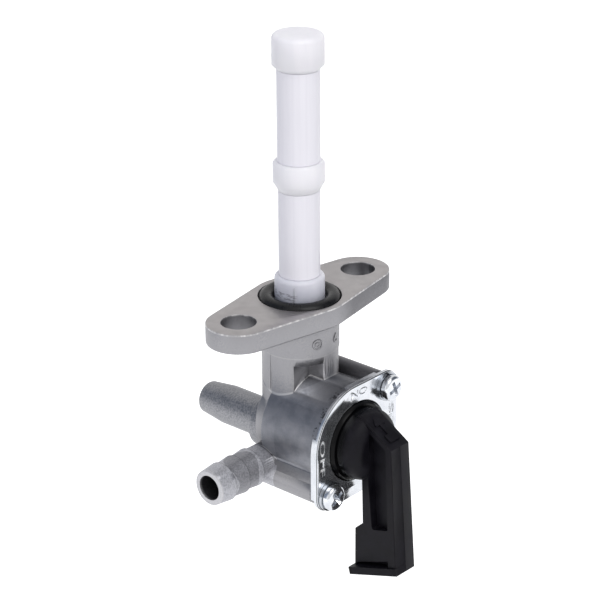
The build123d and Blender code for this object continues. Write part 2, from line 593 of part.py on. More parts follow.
with BuildPart() as lever:
    with BuildSketch(facing_front(ROTOR_FACE_Y)):
        Circle(ROTOR_R)
    extrude(amount=ROTOR_FACE_Y - SHOULDER_Y)
    with BuildSketch(facing_front(SHOULDER_Y)):
        Circle(HUB_R)
    extrude(amount=SHOULDER_Y - HUB_RING_Y)
    with BuildSketch(facing_front(HUB_RING_Y)):
        Circle(HUB_R)
    extrude(amount=HUB_RING_H, taper=HUB_RING_TAPER)
    with BuildSketch(facing_front(HUB_RING_Y)):
        Circle(DOME_R)
    extrude(amount=HUB_RING_Y - DOME_FRONT_Y, taper=DOME_TAPER)
    fillet(lever.edges().group_by(Axis.Y)[0], DOME_FILLET)
    # Arm
    with BuildSketch(Plane.YZ):
        with BuildLine():
            Polyline(
                (ARM_TOP_Y, ARM_TOP_Z),
                (ARM_NOSE_Y, ARM_NOSE_Z),
                (ARM_TOE_Y, ARM_TOE_Z),
                (BLOCK_INNER_Y, FOOT_LOW_Z),
                (BLOCK_INNER_Y, BLOCK_TOP_Z),
                (ARM_INNER_LOW_Y, ARM_INNER_LOW_Z),
                (ARM_INNER_TOP_Y, ARM_INNER_TOP_Z),
                (ARM_ROOT_Y, VALVE_Z - ARM_ROOT_HALF_H),
                (ARM_ROOT_Y, VALVE_Z + ARM_ROOT_HALF_H),
                close=True,
            )
        make_face()
    extrude(amount=ARM_HALF_W, both=True)
    # The left half of the outer face is set back, more so towards the foot
    with BuildSketch(Plane.YZ):
        with BuildLine():
            Polyline(
                (ARM_NOSE_Y, ARM_NOSE_Z),
                (ARM_TOE_Y, ARM_TOE_Z),
                (ARM_TOE_Y + CREASE_LOW_STEP, ARM_TOE_Z),
                (ARM_NOSE_Y + CREASE_TOP_STEP, ARM_NOSE_Z),
                close=True,
            )
        make_face()
    extrude(amount=-ARM_HALF_W, mode=Mode.SUBTRACT)
    # Hollows in both sides, under the slanted face
    with BuildSketch(Plane.YZ) as hollow:
        with BuildLine():
            Polyline(
                (HOLLOW_INNER_TOP_Y, slant_z(HOLLOW_INNER_TOP_Y) - HOLLOW_UNDER_NOSE),
                (HOLLOW_OUTER_TOP_Y, slant_z(HOLLOW_OUTER_TOP_Y) - HOLLOW_UNDER_NOSE),
                (HOLLOW_OUTER_LOW_Y, HOLLOW_OUTER_LOW_Z),
                (HOLLOW_INNER_LOW_Y, HOLLOW_INNER_LOW_Z),
                close=True,
            )
        make_face()
        fillet(hollow.vertices(), HOLLOW_FILLET)
    for side in (1, -1):
        with BuildSketch(Plane.YZ.offset(side * HOLLOW_FLOOR_X)):
            add(hollow.sketch_local)
        extrude(amount=side * (ARM_HALF_W - HOLLOW_FLOOR_X), mode=Mode.SUBTRACT)
    # Thumb foot, with a slot between it and the block above
    with BuildSketch(FOOT_PLANE):
        with BuildLine():
            Polyline(
                (FOOT_INNER_X, 0),
                (ARM_HALF_W, 0),
                (ARM_HALF_W, -FOOT_LENGTH),
                (FOOT_OUTER_X, -FOOT_LENGTH),
                close=True,
            )
        make_face()
    extrude(amount=FOOT_T)
    for side in (1, -1):
        with BuildSketch(Plane.YZ.offset(side * FOOT_SLOT_FLOOR_X)):
            with BuildLine():
                Polyline(
                    (FOOT_SLOT_START_Y, foot_top_z(FOOT_SLOT_START_Y)),
                    (FOOT_SLOT_START_Y, foot_top_z(FOOT_SLOT_START_Y) + FOOT_SLOT_INNER_H),
                    (FOOT_SLOT_END_Y, foot_top_z(FOOT_SLOT_END_Y) + FOOT_SLOT_OUTER_H),
                    (FOOT_SLOT_END_Y, foot_top_z(FOOT_SLOT_END_Y)),
                    close=True,
                )
            make_face()
        extrude(amount=side * (ARM_HALF_W - FOOT_SLOT_FLOOR_X), mode=Mode.SUBTRACT)
    # Seal groove, and the channel that joins the centre bore to one port
    with BuildSketch(facing_front(GROOVE_Y + GROOVE_W / 2)):
        Circle(CHAMBER_R)
        Circle(GROOVE_FLOOR_R, mode=Mode.SUBTRACT)
    extrude(amount=GROOVE_W, mode=Mode.SUBTRACT)
    with BuildSketch(facing_front(ROTOR_FACE_Y)):
        with Locations((-PORT_OFFSET / 2, PORT_OFFSET / 2)):
            SlotCenterToCenter(hypot(PORT_OFFSET, PORT_OFFSET), CHANNEL_W, rotation=135)
    extrude(amount=CHANNEL_DEPTH, mode=Mode.SUBTRACT)


# Seal in the rotor's groove
with BuildPart() as lever_o_ring:
    with BuildSketch(Plane.YZ):
        with Locations((GROOVE_Y, VALVE_Z + GROOVE_FLOOR_R + SOCKET_GAP + SEAL_SECTION_R)):
            Circle(SEAL_SECTION_R)
    revolve(axis=VALVE_AXIS)


parts = {
    "body": body.part,
    "strainer_core": strainer_core.part,
    "upper_screen": upper_screen.part,
    "lower_screen": lower_screen.part,
    "standpipe": standpipe.part,
    "flange_o_ring": flange_o_ring.part,
    "valve_gasket": valve_gasket.part,
    "lever": lever.part,
    "lever_o_ring": lever_o_ring.part,
    "curved_washer": curved_washer.part,
    "cover_plate": cover_plate.part,
    "upper_cover_screw": cover_screw(SCREW_PLACES[0]),
    "lower_cover_screw": cover_screw(SCREW_PLACES[1]),
    "upper_spring_washer": spring_washer(SCREW_PLACES[0]),
    "lower_spring_washer": spring_washer(SCREW_PLACES[1]),
}
for name, part in parts.items():
    part.label = name
    export_step(part, f"parts/{name}.step")
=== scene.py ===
import logging
import math
from dataclasses import dataclass, replace
from enum import Enum
from typing import Callable, Iterable

import bmesh
import bpy
from mathutils import Matrix, Vector

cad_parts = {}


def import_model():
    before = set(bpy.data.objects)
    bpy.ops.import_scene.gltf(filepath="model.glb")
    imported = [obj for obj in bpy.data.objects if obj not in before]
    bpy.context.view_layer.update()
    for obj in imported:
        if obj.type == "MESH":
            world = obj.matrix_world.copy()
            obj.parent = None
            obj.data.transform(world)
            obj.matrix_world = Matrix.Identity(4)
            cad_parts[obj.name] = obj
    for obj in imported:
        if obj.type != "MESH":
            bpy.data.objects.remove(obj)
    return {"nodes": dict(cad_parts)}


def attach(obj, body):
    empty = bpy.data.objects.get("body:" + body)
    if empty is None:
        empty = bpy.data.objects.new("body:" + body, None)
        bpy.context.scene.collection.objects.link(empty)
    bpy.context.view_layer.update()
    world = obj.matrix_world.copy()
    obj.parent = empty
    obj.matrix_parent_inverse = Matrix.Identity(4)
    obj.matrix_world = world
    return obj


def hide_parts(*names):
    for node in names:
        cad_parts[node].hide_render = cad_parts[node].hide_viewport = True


Triple = tuple[float, float, float]
Pair = tuple[float, float]
Pairs = tuple[Pair, ...]
Socket = bpy.types.NodeSocket
Material = bpy.types.Material
Piece = bpy.types.Object
BMesh = bmesh.types.BMesh
BMEdge = bmesh.types.BMEdge

LOG = logging.getLogger("fuel_tap")
MM = 0.001
WELD_MM = 0.0005
FLAT_DEG = 0.4
SHARP_DEG = 30.0
CAPITAL_SHARE = 0.73
WHITE = (1.0, 1.0, 1.0)
EVEN = (1.0, 1.0, 1.0)
NOWHERE = (-1.0, -1.0)


class Body(Enum):
    """The two moving bodies of the tap."""

    HOUSING = "housing"
    LEVER = "lever"


class Graph:
    """A node tree, with short ways to add the nodes that the finishes and the world are made of."""

    def __init__(self, tree: bpy.types.NodeTree) -> None:
        """Take the tree that the nodes go into."""
        self.tree = tree

    def node(self, kind: str, **settings: object) -> bpy.types.Node:
        """Add a node of Blender's type `kind` and set its plain properties by name."""
        made = self.tree.nodes.new(kind)
        for key, value in settings.items():
            setattr(made, key, value)
        return made

    def put(self, target: Socket, value: float | Triple | Socket) -> None:
        """Link a socket to a target socket, or set a plain number, vector or colour on it."""
        if isinstance(value, Socket):
            self.tree.links.new(value, target)
        elif target.type == "RGBA":
            target.default_value = (*value, 1.0)
        else:
            target.default_value = value

    def spread(self, source: Socket, low: float, high: float, out_low: float, out_high: float) -> Socket:
        """Map a value from one range to another, clamped."""
        made = self.node("ShaderNodeMapRange")
        for socket, value in zip(("From Min", "From Max", "To Min", "To Max"), (low, high, out_low, out_high)):
            made.inputs[socket].default_value = value
        self.put(made.inputs["Value"], source)
        return made.outputs["Result"]

    def ramp(self, place: Socket, start_mm: float, end_mm: float, out_low: float, out_high: float) -> Socket:
        """Map a coordinate in metres, its range given in millimetres, to another range, clamped."""
        return self.spread(place, start_mm * MM, end_mm * MM, out_low, out_high)

    def tint(self, factor: Socket, first: Triple | Socket, second: Triple | Socket) -> Socket:
        """Mix two colours, each a plain colour or a socket, by a factor."""
        made = self.node("ShaderNodeMix", data_type="RGBA")
        for index, value in ((0, factor), (6, first), (7, second)):
            self.put(made.inputs[index], value)
        return made.outputs[2]

    def blend(self, factor: Socket, first: float | Socket, second: float | Socket) -> Socket:
        """Mix two numbers, each a plain number or a socket, by a factor."""
        made = self.node("ShaderNodeMix", data_type="FLOAT")
        for index, value in ((0, factor), (2, first), (3, second)):
            self.put(made.inputs[index], value)
        return made.outputs[0]

    def sums(self, operation: str, *terms: float | Socket) -> Socket:
        """Math over one or more numbers or sockets, each term after the second in a further node."""
        made = self.node("ShaderNodeMath", operation=operation)
        for socket, term in zip(made.inputs, terms[:2]):
            self.put(socket, term)
        return self.sums(operation, made.outputs[0], *terms[2:]) if terms[2:] else made.outputs[0]

    def times(self, *factors: float | Socket) -> Socket:
        """Product of two or more factors."""
        return self.sums("MULTIPLY", *factors)

    def most(self, *factors: float | Socket) -> Socket:
        """Largest of two or more factors."""
        return self.sums("MAXIMUM", *factors)

    def size_of(self, value: Socket) -> Socket:
        """A value without its sign."""
        return self.sums("ABSOLUTE", value)

    def above(self, place: Socket, limit_mm: float) -> Socket:
        """Mark of 1 where a coordinate in metres is above a limit, and 0 elsewhere."""
        return self.sums("GREATER_THAN", place, limit_mm * MM)

    def below(self, place: Socket, limit_mm: float) -> Socket:
        """Mark of 1 where a coordinate in metres is below a limit, and 0 elsewhere."""
        return self.sums("LESS_THAN", place, limit_mm * MM)

    def past(self, place: Socket, start_mm: float) -> Socket:
        """How far a coordinate is past a place, in metres."""
        return self.sums("SUBTRACT", place, start_mm * MM)

    def near(self, place: Socket, wanted_mm: float, reach_mm: float = 0.07) -> Socket:
        """Soft mark of 1 where a coordinate in metres is close to a place, and 0 elsewhere."""
        return self.ramp(self.size_of(self.past(place, wanted_mm)), reach_mm, reach_mm + 0.1, 1.0, 0.0)

    def off_round(self, across: Socket, along: Socket, radius_mm: float) -> Socket:
        """Distance of a point outside a round surface about the origin of two coordinates, in metres."""
        squares = self.sums("ADD", self.times(across, across), self.times(along, along))
        return self.past(self.sums("SQRT", squares), radius_mm)


class Shader(Graph):
    """Node tree of one material, with its Principled shader ready to be fed."""

    def __init__(self, name: str) -> None:
        """Start an empty material of that name."""
        self.material = bpy.data.materials.new(name)
        self.material.use_nodes = True
        super().__init__(self.material.node_tree)
        self.principled = self.tree.nodes["Principled BSDF"]
        self.place = self.node("ShaderNodeTexCoord").outputs["Object"]

    def values(self, **inputs: float | Triple | Socket) -> None:
        """Feed the Principled shader's own sockets, named with underscores for their spaces."""
        for key, value in inputs.items():
            self.put(self.principled.inputs[key.replace("_", " ")], value)

    def noise(self, size_mm: float, detail: float = 3.0, stretch: Triple = EVEN) -> Socket:
        """Noise on object coordinates.

        Args:
            size_mm: size of the largest lumps in millimetres.
            detail: octaves of finer lumps.
            stretch: factor on the frequency along each axis.

        Returns:
            The factor socket of the noise, about 0.3 to 0.7.
        """
        frequency = 1.0 / (size_mm * MM)
        mapping = self.node("ShaderNodeMapping")
        mapping.inputs["Scale"].default_value = tuple(frequency * s for s in stretch)
        self.put(mapping.inputs["Vector"], self.place)
        made = self.node("ShaderNodeTexNoise")
        made.inputs["Scale"].default_value = 1.0
        made.inputs["Detail"].default_value = detail
        self.put(made.inputs["Vector"], mapping.outputs["Vector"])
        return made.outputs["Fac"]

    def cloud(
        self, size_mm: float, detail: float, low: float, high: float, stretch: Triple = EVEN, most: float = 1.0
    ) -> Socket:
        """Noise with its contrast raised: 0 below `low`, and `most` above `high`."""
        return self.spread(self.noise(size_mm, detail, stretch), low, high, 0.0, most)

    def axis_of(self, letter: str) -> Socket:
        """One coordinate, X, Y or Z, of the object coordinates in metres."""
        made = self.node("ShaderNodeSeparateXYZ")
        self.put(made.inputs[0], self.place)
        return made.outputs[letter]

    def nook(self, reach_mm: float, open_at: float, closed_at: float) -> Socket:
        """Mark of corners and bores: 0 where the share of open sky is `open_at`, and 1 where it is `closed_at`."""
        made = self.node("ShaderNodeAmbientOcclusion", samples=12, only_local=True)
        made.inputs["Distance"].default_value = reach_mm * MM
        return self.spread(made.outputs["AO"], closed_at, open_at, 1.0, 0.0)

    def bump(self, height: Socket, depth_mm: float, strength: float | Socket) -> None:
        """Feed a height to the shader's normal, where a height of 1 stands for `depth_mm`."""
        made = self.node("ShaderNodeBump")
        made.inputs["Distance"].default_value = depth_mm * MM
        self.put(made.inputs["Strength"], strength)
        self.put(made.inputs["Height"], height)
        self.values(Normal=made.outputs["Normal"])


def to_object(bm: BMesh, name: str) -> Piece:
    """Turn a bmesh in millimetres into a linked object, smooth but for its sharp corners, and free the bmesh."""
    bmesh.ops.transform(bm, matrix=Matrix.Scale(MM, 4), verts=bm.verts)
    mesh = bpy.data.meshes.new(name)
    bm.to_mesh(mesh)
    bm.free()
    mesh.shade_smooth()
    mesh.set_sharp_from_angle(angle=math.radians(SHARP_DEG))
    made = bpy.data.objects.new(name, mesh)
    bpy.context.scene.collection.objects.link(made)
    return made


def placed(bm: BMesh, frame: Matrix, name: str) -> Piece:
    """Set a closed bmesh in millimetres in a frame, turn its faces outward, and make the object."""
    bmesh.ops.transform(bm, matrix=frame, verts=bm.verts)
    bmesh.ops.recalc_face_normals(bm, faces=bm.faces)
    return to_object(bm, name)


def merged_copy(node: Piece) -> BMesh:
    """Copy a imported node's triangles into one closed bmesh in millimetres, its flat areas dissolved to single faces."""
    bm = bmesh.new()
    bm.from_mesh(node.data)
    bmesh.ops.transform(bm, matrix=Matrix.Scale(1 / MM, 4), verts=bm.verts)
    bmesh.ops.remove_doubles(bm, verts=bm.verts, dist=WELD_MM)
    bmesh.ops.dissolve_limit(
        bm, angle_limit=math.radians(FLAT_DEG), verts=bm.verts, edges=bm.edges, use_dissolve_boundaries=False
    )
    return bm


def round_off(bm: BMesh, edges: list[BMEdge], width: float, segments: int, clamp: bool) -> None:
    """Round edges by a width in millimetres. With `clamp`, roundings that would meet are kept apart."""
    bmesh.ops.bevel(
        bm, geom=edges, offset=width, affect="EDGES", segments=segments, profile=0.5, material=-1, clamp_overlap=clamp
    )


def soften(
    bm: BMesh, pick: Callable[[BMEdge], bool], width: float, segments: int, corner_deg: float
) -> None:
    """Round the edges that `pick` chooses, if their corner is sharper than `corner_deg`."""
    corner = math.radians(corner_deg)
    chosen = [e for e in bm.edges if len(e.link_faces) == 2 and e.calc_face_angle(0.0) > corner and pick(e)]
    round_off(bm, chosen, width, segments, False)


def block(size: Triple) -> BMesh:
    """Block of a size in millimetres, centred on the origin."""
    bm = bmesh.new()
    bmesh.ops.create_cube(bm, size=1.0)
    bmesh.ops.scale(bm, vec=size, verts=bm.verts)
    return bm


def bar(size: Triple, rounding: float) -> BMesh:
    """Block with rounded edges, centred on the origin."""
    bm = block(size)
    round_off(bm, bm.edges[:], rounding, 2, True)
    return bm


def evaluated_mesh(held: Piece) -> bpy.types.Mesh:
    """Mesh of an object as it looks with its modifiers or as text."""
    bpy.context.view_layer.update()
    return bpy.data.meshes.new_from_object(held.evaluated_get(bpy.context.evaluated_depsgraph_get()))


def carve(target: Piece, cutter: Piece) -> None:
    """Cut one closed piece by another, and remove the second."""
    modifier = target.modifiers.new("cut", "BOOLEAN")
    modifier.operation = "DIFFERENCE"
    modifier.object = cutter
    modifier.solver = "EXACT"
    made = evaluated_mesh(target)
    target.modifiers.remove(modifier)
    target.data = made
    bpy.data.objects.remove(cutter)
    made.shade_smooth()
    made.set_sharp_from_angle(angle=math.radians(SHARP_DEG))


def prism(outline: Iterable[Pair], low: float, high: float, frame: Matrix, name: str) -> Piece:
    """Closed block over a flat outline.

    Args:
        outline: corners in the frame's first two axes, in millimetres.
        low: start along the frame's third axis.
        high: end along the frame's third axis.
        frame: where the block stands.
        name: name of the piece.

    Returns:
        The block as an object.
    """
    bm = bmesh.new()
    face = bm.faces.new([bm.verts.new((u, v, low)) for u, v in outline])
    raised = bmesh.ops.extrude_face_region(bm, geom=[face])["geom"]
    bmesh.ops.translate(bm, vec=(0, 0, high - low), verts=[g for g in raised if isinstance(g, bmesh.types.BMVert)])
    return placed(bm, frame, name)


def spun(bm: BMesh, geom: list[bmesh.types.BMVert | BMEdge], steps: int) -> None:
    """Spin a profile once round the third axis into a closed surface."""
    bmesh.ops.spin(bm, geom=geom, cent=(0, 0, 0), axis=(0, 0, 1), angle=math.tau, steps=steps, use_merge=True)


def turned(profile: Iterable[Pair], frame: Matrix, name: str, steps: int) -> Piece:
    """Solid of revolution about the frame's third axis.

    Args:
        profile: radius and height pairs, the first and last on the axis.
        frame: where the solid stands.
        name: name of the piece.
        steps: faces round it.

    Returns:
        The solid as an object.
    """
    bm = bmesh.new()
    verts = [bm.verts.new((radius, 0, height)) for radius, height in profile]
    edges = [bm.edges.new(pair) for pair in zip(verts, verts[1:])]
    spun(bm, verts + edges, steps)
    bmesh.ops.remove_doubles(bm, verts=bm.verts, dist=WELD_MM)
    return placed(bm, frame, name)


def word(
    letters: str, height: float, length: float, thickness: float, frame: Matrix, name: str, boldness: float
) -> Piece:
    """Block letters as a closed mesh, centred on the frame's origin.

    Args:
        letters: what is written.
        height: height of a capital letter in millimetres.
        length: length of the whole word, to which the letters are stretched.
        thickness: from half below to half above the frame's plane.
        frame: where the word stands.
        name: name of the piece.
        boldness: growth of every stroke in millimetres.

    Returns:
        The word as an object.
    """
    curve = bpy.data.curves.new(name, "FONT")
    curve.body = letters
    curve.size = height / CAPITAL_SHARE
    curve.extrude = thickness / 2
    curve.offset = boldness
    curve.resolution_u = 4
    curve.align_x = curve.align_y = "CENTER"
    held = bpy.data.objects.new(name, curve)
    bpy.context.scene.collection.objects.link(held)
    bm = bmesh.new()
    bm.from_mesh(evaluated_mesh(held))
    bpy.data.objects.remove(held)
    bmesh.ops.remove_doubles(bm, verts=bm.verts, dist=WELD_MM)
    for axis, wanted in ((0, length), (1, height)):
        low, high = (pick(v.co[axis] for v in bm.verts) for pick in (min, max))
        shift, factor = [0.0] * 3, [1.0] * 3
        shift[axis], factor[axis] = -(low + high) / 2, wanted / (high - low)
        bmesh.ops.translate(bm, vec=shift, verts=bm.verts)
        bmesh.ops.scale(bm, vec=factor, verts=bm.verts)
    return placed(bm, frame, name)


def facing_front(y: float, x: float = 0.0, z: float = 0.0, turn_deg: float = 0.0) -> Matrix:
    """Frame across Y whose first two axes are X and Z, its third pointing to -Y.

    Args:
        y: place along Y in millimetres.
        x: place along X.
        z: place along Z.
        turn_deg: turn of the frame, counter-clockwise as seen from the lever side.

    Returns:
        The frame's matrix.
    """
    stand = Matrix(((1, 0, 0), (0, 0, -1), (0, 1, 0))).to_4x4()
    return Matrix.Translation((x, y, z)) @ stand @ Matrix.Rotation(math.radians(turn_deg), 4, "Z")


def wear(piece: Piece, finish: Material) -> None:
    """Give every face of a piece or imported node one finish."""
    if not piece.material_slots:
        piece.data.materials.append(finish)
    for material_slot in piece.material_slots:
        material_slot.material = finish


def settle(piece: Piece, body: Body, finish: Material, stands_for: tuple[str, ...] = ()) -> None:
    """Finish a new piece, tie it to its body and report it.

    Args:
        piece: the new piece, in place.
        body: the body that it moves with.
        finish: its material.
        stands_for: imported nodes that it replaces.
    """
    wear(piece, finish)
    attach(piece, body.value)
    if stands_for:
        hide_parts(*stands_for)
    LOG.info("%s: %d faces on %s", piece.name, len(piece.data.polygons), body.value)


@dataclass(frozen=True)
class CastPlaces:
    """Sockets that tell where on the casting a point lies, shared by the steps of its finish."""

    x: Socket
    y: Socket
    z: Socket
    on_spigot: Socket
    on_front: Socket
    on_barrel: Socket
    speck: Socket


@dataclass(frozen=True)
class CastZinc:
    """Die casting, grainier on the spigots, with a machined top face, rims lightened by wear and by painted highlights,
    and painted shade in its corners and bores and on the barrel's top.
    """

    grey: Triple = (0.285, 0.283, 0.3)
    pale: Triple = (0.38, 0.375, 0.385)
    # dark: nicks by the plate, and painted shade in the front bore and at the barb steps
    dark: Triple = (0.03, 0.03, 0.035)
    # colour of painted shade in corners, bores, the pocket, the bolt holes and on the neck's right side
    painted_shade: Triple = (0.07, 0.07, 0.078)
    pitted: Triple = (0.21, 0.215, 0.23)
    blasted: Triple = (0.35, 0.35, 0.37)
    front_pale: Triple = (0.62, 0.62, 0.67)
    barrel: Triple = (0.245, 0.25, 0.275)
    barrel_patch: Triple = (0.175, 0.183, 0.21)
    # painted shade on the barrel's top, under the flange
    barrel_top_shade: Triple = (0.12, 0.122, 0.135)
    machined: Triple = (0.43, 0.41, 0.41)
    # worn: pale colour for wear on the chipped upper rim and for painted highlights on edges, the spigot tip and the
    # neck's foot
    worn: Triple = (0.66, 0.65, 0.65)
    metal: float = 0.85
    front_metal: float = 0.65
    rough: float = 0.42
    grain_mm: float = 0.32
    fade_mm: float = 1.2
    face_z_mm: float = -0.03
    rim_z_mm: float = -0.32
    ledge_z_mm: float = -10.25
    neck_r_mm: float = 7.4
    neck_end_z_mm: float = -20.0
    neck_shade_x_mm: Pair = (0.0, 6.0)
    pocket_x_mm: float = -1.5
    pocket_y_mm: float = -3.9
    pocket_wall_z_mm: float = -11.6
    barrel_z_mm: float = -25.7
    barrel_r_mm: float = 10.6
    barrel_top_z_mm: Pair = (-18.0, -15.4)
    front_rim_y_mm: float = -11.7
    spigots_below_z_mm: float = -22.0
    rear_spigot_y_mm: float = 4.4
    front_spigot_x_mm: float = -9.8
    front_spigot_y_mm: float = -2.6
    front_axis_y_mm: float = 1.5
    front_axis_z_mm: float = -32.3
    front_root_r_mm: float = 3.8
    front_wall_mm: float = 1.25
    bore_dark_x_mm: Pair = (-24.2, -23.6)
    barb_steps_x_mm: Triple = (-20.6, -16.75, -12.9)
    tip_x_mm: float = -24.0
    bolt_x_mm: float = 17.0
    bolt_hole_r_mm: float = 3.35

    def material(self) -> Material:
        """The cast finish, smoother and warmer on the machined face."""
        s = Shader("cast_zinc_finish")
        lumps = s.noise(self.grain_mm, 3.0)
        at = self._places(s, s.spread(lumps, 0.38, 0.62, 0.0, 1.0))
        on_face = s.above(at.z, self.face_z_mm)
        cloud = s.cloud(5.0, 3.0, 0.35, 0.65)
        cast = self._marked(s, at, self._skin(s, at, cloud))
        face = s.tint(s.cloud(2.4, 4.0, 0.35, 0.7), self.machined, tuple(c * 0.88 for c in self.machined))
        clean = self._cornered(s, at, s.tint(on_face, cast, face))
        # painted shade: corners and bores darken by their ambient occlusion, less so on the front spigot
        nook = s.times(s.nook(5.0, 0.85, 0.3), s.blend(at.on_front, 0.75, 0.25))
        rough = s.spread(at.speck, 0.0, 1.0, self.rough - 0.06, self.rough + 0.1)
        s.values(
            Base_Color=s.tint(nook, self._shaded(s, at, clean), self.painted_shade),
            Roughness=s.blend(on_face, rough, 0.4),
            Metallic=s.blend(at.on_front, self.metal, self.front_metal),
        )
        height = s.blend(on_face, lumps, s.noise(0.14, 2.0, (0.06, 1.0, 1.0)))
        strength = s.blend(at.on_spigot, s.blend(cloud, 0.12, 0.3), 0.9)
        s.bump(height, 0.1, s.blend(on_face, strength, 0.1))
        return s.material

    def _places(self, s: Shader, speck: Socket) -> CastPlaces:
        """Tell the spigots and the barrel from the rest of the casting."""
        x, y, z = (s.axis_of(letter) for letter in "XYZ")
        beside = s.below(x, self.front_spigot_x_mm)
        rear_y, top_z = self.rear_spigot_y_mm, self.spigots_below_z_mm
        outside = s.most(
            s.times(beside, s.above(y, self.front_spigot_y_mm)), s.ramp(y, rear_y, rear_y + self.fade_mm, 0.0, 1.0)
        )
        on_spigot = s.times(outside, s.ramp(z, top_z, top_z - self.fade_mm, 0.0, 1.0))
        off_barrel = s.off_round(x, s.past(z, self.barrel_z_mm), self.barrel_r_mm)
        on_barrel = s.ramp(s.size_of(off_barrel), 0.1, 0.2, 1.0, 0.0)
        return CastPlaces(x, y, z, on_spigot, s.times(on_spigot, beside), on_barrel, speck)

    def _skin(self, s: Shader, at: CastPlaces, cloud: Socket) -> Socket:
        """Grey of the casting, mottled on the barrel and specked on the spigots, with painted shade towards the
        barrel's top.
        """
        mottle = s.blend(at.on_spigot, s.blend(cloud, 0.25, s.times(at.speck, 0.7)), at.speck)
        low_tone = s.tint(at.on_spigot, self.grey, self.pitted)
        cast = s.tint(mottle, low_tone, s.tint(at.on_spigot, self.pale, self.blasted))
        cast = s.tint(s.times(at.on_front, s.blend(at.speck, 0.4, 0.66)), cast, self.front_pale)
        barrel = s.tint(s.cloud(2.2, 4.0, 0.38, 0.66), self.barrel, self.barrel_patch)
        # painted shade: the barrel darkens towards its top, under the flange
        barrel = s.tint(s.ramp(at.z, *self.barrel_top_z_mm, 0.0, 0.7), barrel, self.barrel_top_shade)
        return s.tint(s.times(at.on_barrel, 0.9), cast, barrel)

    def _marked(self, s: Shader, at: CastPlaces, cast: Socket) -> Socket:
        """Add painted shade lines at the barb steps, a painted highlight on the spigot's tip, dark nicks by the plate,
        and the chipped upper rim, lightened as wear and as painted highlight.
        """
        steps = s.most(*(s.near(at.x, crest, 0.14) for crest in self.barb_steps_x_mm))
        nicks = s.cloud(0.7, 4.0, 0.53, 0.57, (1.0, 0.6, 1.0))
        near_front = s.ramp(at.y, self.front_rim_y_mm, self.front_rim_y_mm - 0.6, 0.0, 1.0)
        chipped = s.spread(s.noise(1.1, 4.0, (1.0, 1.0, 0.3)), 0.42, 0.6, 0.2, 1.0)
        for mark, colour in (
            # painted shade: dark lines at the barb steps
            (s.times(steps, at.on_spigot, 0.6), self.dark),
            # painted highlight on the spigot's tip and end rim
            (s.times(s.below(at.x, self.tip_x_mm), at.on_spigot, 0.4), self.worn),
            (s.times(nicks, near_front, 0.8), self.dark),
            # chips on the upper rim: wear, lightened further as a painted highlight along the rounded edge
            (s.times(s.above(at.z, self.rim_z_mm), chipped), self.worn),
        ):
            cast = s.tint(mark, cast, colour)
        return cast

    def _cornered(self, s: Shader, at: CastPlaces, clean: Socket) -> Socket:
        """Paint shade into the pocket and the front bore, and paint highlights on the sharp corners at the foot of the
        neck, on the neck's ledge and round the front spigot's root.
        """
        off_neck = s.off_round(at.x, at.y, self.neck_r_mm)
        quarter = s.times(s.below(at.x, self.pocket_x_mm + 0.06), s.below(at.y, self.pocket_y_mm + 0.06))
        pocket = s.times(quarter, s.below(off_neck, -0.12))
        walls = s.times(pocket, s.sums("SUBTRACT", 1.0, at.on_barrel), s.below(at.z, self.pocket_wall_z_mm))
        off_front = s.off_round(
            s.past(at.y, self.front_axis_y_mm), s.past(at.z, self.front_axis_z_mm), self.front_root_r_mm
        )
        in_bore = s.times(at.on_front, s.below(off_front, -self.front_wall_mm))
        at_corner = s.times(pocket, s.most(s.near(at.y, self.pocket_y_mm), s.near(at.x, self.pocket_x_mm)))
        round_neck = s.times(s.near(off_neck, 0.05), s.sums("SUBTRACT", 1.0, quarter))
        foot = s.times(at.on_barrel, s.most(at_corner, round_neck, s.near(off_front, 0.0, 0.12)))
        ledge = s.times(s.near(at.z, self.ledge_z_mm), 0.35)
        for mark, colour in (
            # painted shade on the pocket's walls and on the barrel inside the pocket
            (s.times(walls, 0.7), self.painted_shade),
            (s.times(pocket, at.on_barrel, 0.35), self.painted_shade),
            # painted shade deep in the front spigot's bore
            (s.times(in_bore, s.ramp(at.x, *self.bore_dark_x_mm, 0.0, 0.95)), self.dark),
            # painted highlights along the neck's foot, its ledge and the front spigot's root
            (s.times(s.most(foot, ledge), s.ramp(at.y, 3.0, 1.0, 0.0, 0.6)), self.worn),
        ):
            clean = s.tint(mark, clean, colour)
        return clean

    def _shaded(self, s: Shader, at: CastPlaces, clean: Socket) -> Socket:
        """Paint shade on the neck's right side and on the walls of the bolt holes."""
        upper = s.times(s.below(at.z, self.rim_z_mm), s.above(at.z, self.neck_end_z_mm))
        right = s.times(upper, s.ramp(at.x, *self.neck_shade_x_mm, 0.0, 0.6), s.below(at.y, 0.0))
        off_bolt = s.off_round(s.past(s.size_of(at.x), self.bolt_x_mm), at.y, self.bolt_hole_r_mm)
        in_hole = s.times(s.below(off_bolt, 0.05), s.below(at.z, -0.1), 0.45)
        return s.tint(in_hole, s.tint(right, clean, self.painted_shade), self.painted_shade)


